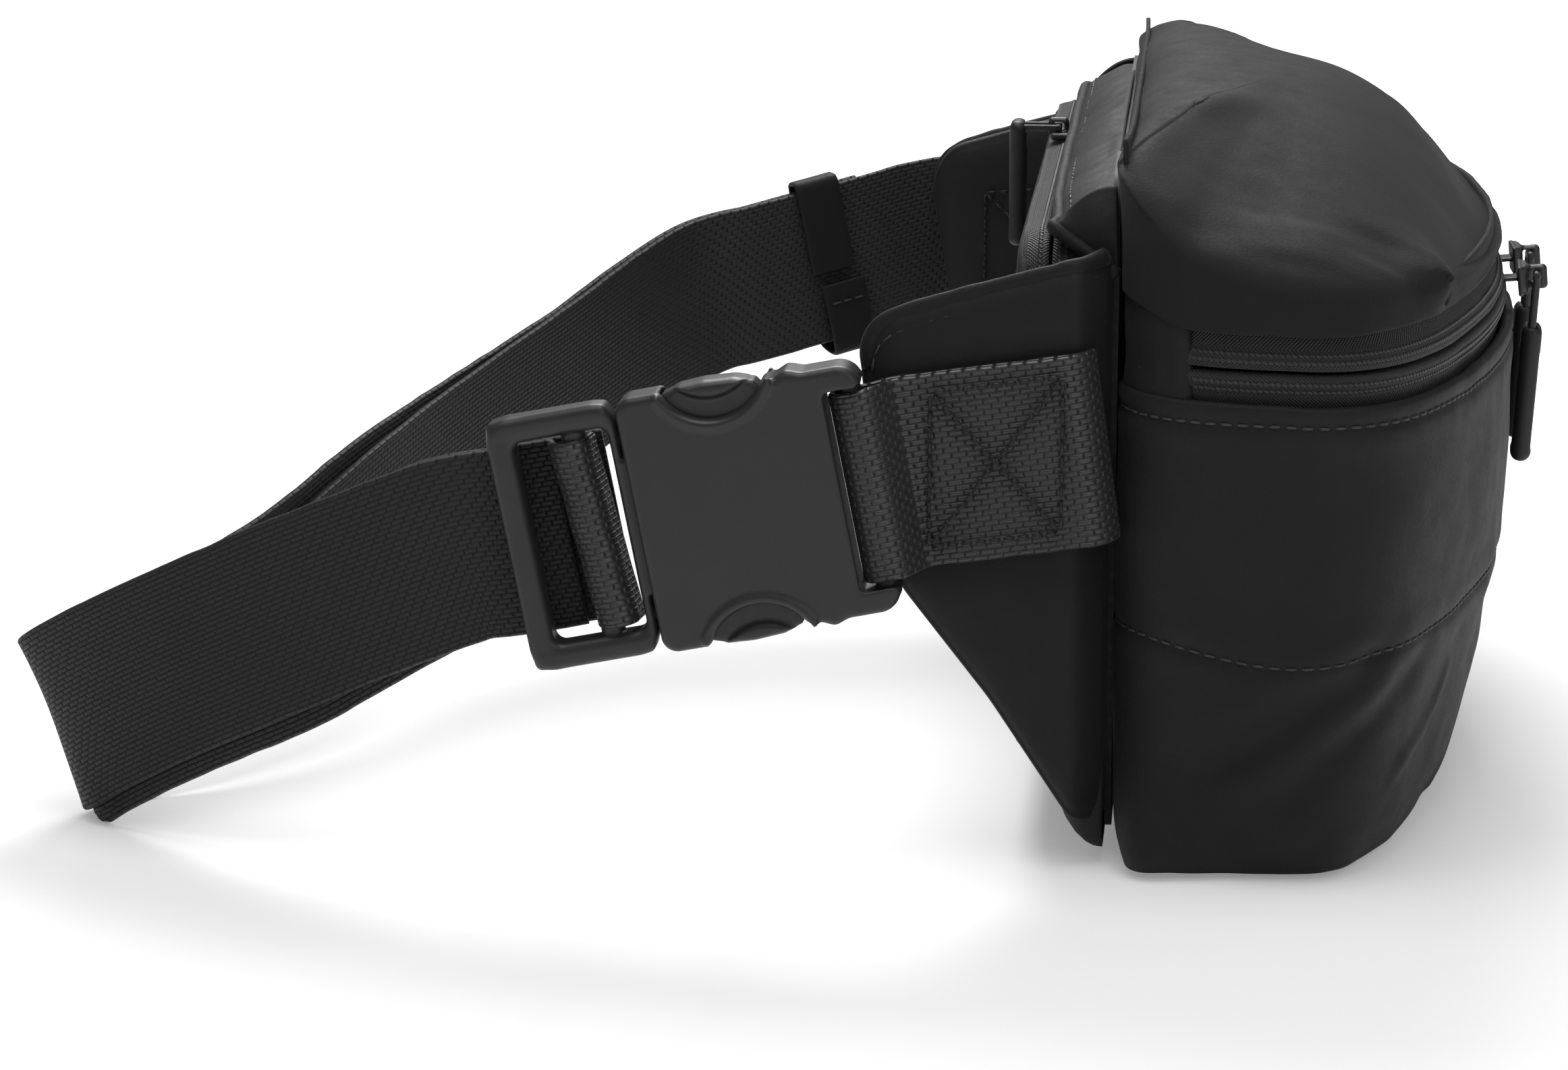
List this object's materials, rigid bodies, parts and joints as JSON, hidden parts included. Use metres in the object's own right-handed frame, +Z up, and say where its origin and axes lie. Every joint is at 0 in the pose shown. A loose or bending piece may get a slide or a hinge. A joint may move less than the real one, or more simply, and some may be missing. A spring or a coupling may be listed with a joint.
{
  "type": "waist pack",
  "caption": "Soft zipped waist pack with domed lift-up lid, slim rear pocket, padded hip wings and an adjustable webbing belt with a side-release buckle",
  "frame": {"origin": "on the floor under the base, at the middle of the width, on the seam plane between main compartment and rear pocket", "axes": "+Z up; -Y is the front of the bag, +Y points to the wearer; -X is the buckle side, +X the keeper side"},
  "size_m": [0.2593, 0.3144, 0.15],
  "materials": {
    "coated_fabric": "matt coated fabric, soft touch",
    "webbing": "woven polyester webbing",
    "zip_tape": "woven zip tape",
    "zip_coil": "nylon coil",
    "lining": "plain woven lining",
    "foam": "closed-cell foam",
    "board": "stiffener sheet",
    "buckle_plastic": "matt moulded acetal",
    "slider_metal": "black painted zinc",
    "pull_rubber": "moulded soft grip",
    "thread": "bonded thread"
  },
  "bodies": {
    "bag": {"base_panel": "coated_fabric", "base_board": "board", "body_shell": "coated_fabric", "body_lining": "lining", "lower_zip_tape": "zip_tape", "lower_zip_coil": "zip_coil", "zip_end_tabs": "coated_fabric", "rear_divider": "lining", "rear_gusset": "coated_fabric", "rear_flap": "coated_fabric", "rear_zip_front_tape": "zip_tape", "rear_zip_rear_tape": "zip_tape", "rear_zip_coil": "zip_coil", "rear_piping": "coated_fabric", "back_panel_cover": "coated_fabric", "back_panel_foam": "foam", "back_panel_lining": "lining", "wing_near_cover": "coated_fabric", "wing_near_foam": "foam", "wing_near_lining": "coated_fabric", "wing_far_cover": "coated_fabric", "wing_far_foam": "foam", "wing_far_lining": "coated_fabric", "hem_stitching": "thread", "far_box_stitch": "thread"},
    "lid": {"lid_shell": "coated_fabric", "lid_lining": "lining", "upper_zip_tape": "zip_tape", "upper_zip_coil": "zip_coil"},
    "main_slider_near": {"slider_near": "slider_metal"},
    "main_pull_near": {"pull_near_link": "slider_metal", "pull_near_grip": "pull_rubber"},
    "main_slider_far": {"slider_far": "slider_metal"},
    "main_pull_far": {"pull_far_link": "slider_metal", "pull_far_grip": "pull_rubber"},
    "rear_zip_slider": {"rear_slider": "slider_metal"},
    "rear_zip_pull": {"rear_pull_link": "slider_metal", "rear_pull_grip": "pull_rubber"},
    "belt": {"anchor_webbing": "webbing", "belt_webbing": "webbing", "belt_tail": "webbing", "buckle_socket": "buckle_plastic", "near_box_stitch": "thread"},
    "plug": {"buckle_plug": "buckle_plastic", "plug_webbing_turn": "webbing"},
    "prong_a": {"prong_upper": "buckle_plastic"},
    "prong_b": {"prong_lower": "buckle_plastic"},
    "keeper": {"tail_keeper": "coated_fabric"}
  },
  "joints": [
    {"name": "lid_hinge", "type": "hinge", "parent": "bag", "child": "lid", "pos_m": [0, 0.0005, 0.1395], "axis": [-1, 0, 0], "range_deg": [0, 95]},
    {"name": "near_zip_travel", "type": "hinge", "parent": "bag", "child": "main_slider_near", "pos_m": [0, 0.23145, 0.1036], "axis": [0, 0, -1], "range_deg": [0, 11.5]},
    {"name": "near_pull_lift", "type": "hinge", "parent": "main_slider_near", "child": "main_pull_near", "pos_m": [-0.01278, -0.08674, 0.1045], "axis": [-0.9992, 0.0401, 0], "range_deg": [0, 140]},
    {"name": "far_zip_travel", "type": "hinge", "parent": "bag", "child": "main_slider_far", "pos_m": [0, 0.23145, 0.1036], "axis": [0, 0, 1], "range_deg": [0, 11.5]},
    {"name": "far_pull_lift", "type": "hinge", "parent": "main_slider_far", "child": "main_pull_far", "pos_m": [0.01278, -0.08674, 0.1045], "axis": [-0.9992, -0.0401, 0], "range_deg": [0, 140]},
    {"name": "rear_zip_travel", "type": "slide", "parent": "bag", "child": "rear_zip_slider", "axis": [1, 0, 0], "range_m": [-0.115, 0.06]},
    {"name": "rear_pull_lift", "type": "hinge", "parent": "rear_zip_slider", "child": "rear_zip_pull", "pos_m": [0.028, 0.01715, 0.1291], "axis": [1, 0, 0], "range_deg": [0, 100]},
    {"name": "belt_swing", "type": "hinge", "parent": "bag", "child": "belt", "pos_m": [0, 0.004, 0.087], "axis": [1, 0, 0], "range_deg": [0, 20]},
    {"name": "buckle_release", "type": "slide", "parent": "belt", "child": "plug", "axis": [0, 0.981, -0.1942], "range_m": [0, 0.034]},
    {"name": "prong_squeeze_upper", "type": "hinge", "parent": "plug", "child": "prong_a", "pos_m": [-0.124, 0.09267, 0.0889], "axis": [1, 0, 0], "range_deg": [0, 7], "stiffness_Nm_per_rad": 0.05},
    {"name": "prong_squeeze_lower", "type": "hinge", "parent": "plug", "child": "prong_b", "pos_m": [-0.124, 0.08583, 0.05437], "axis": [-1, 0, 0], "range_deg": [0, 7], "stiffness_Nm_per_rad": 0.05},
    {"name": "keeper_travel", "type": "slide", "parent": "belt", "child": "keeper", "axis": [0.4144, -0.8868, 0.2046], "range_m": [-0.008, 0.007]}
  ],
  "couplings": [
    {"joint": "prong_squeeze_lower", "follows": "prong_squeeze_upper", "ratio": 1}
  ]
}
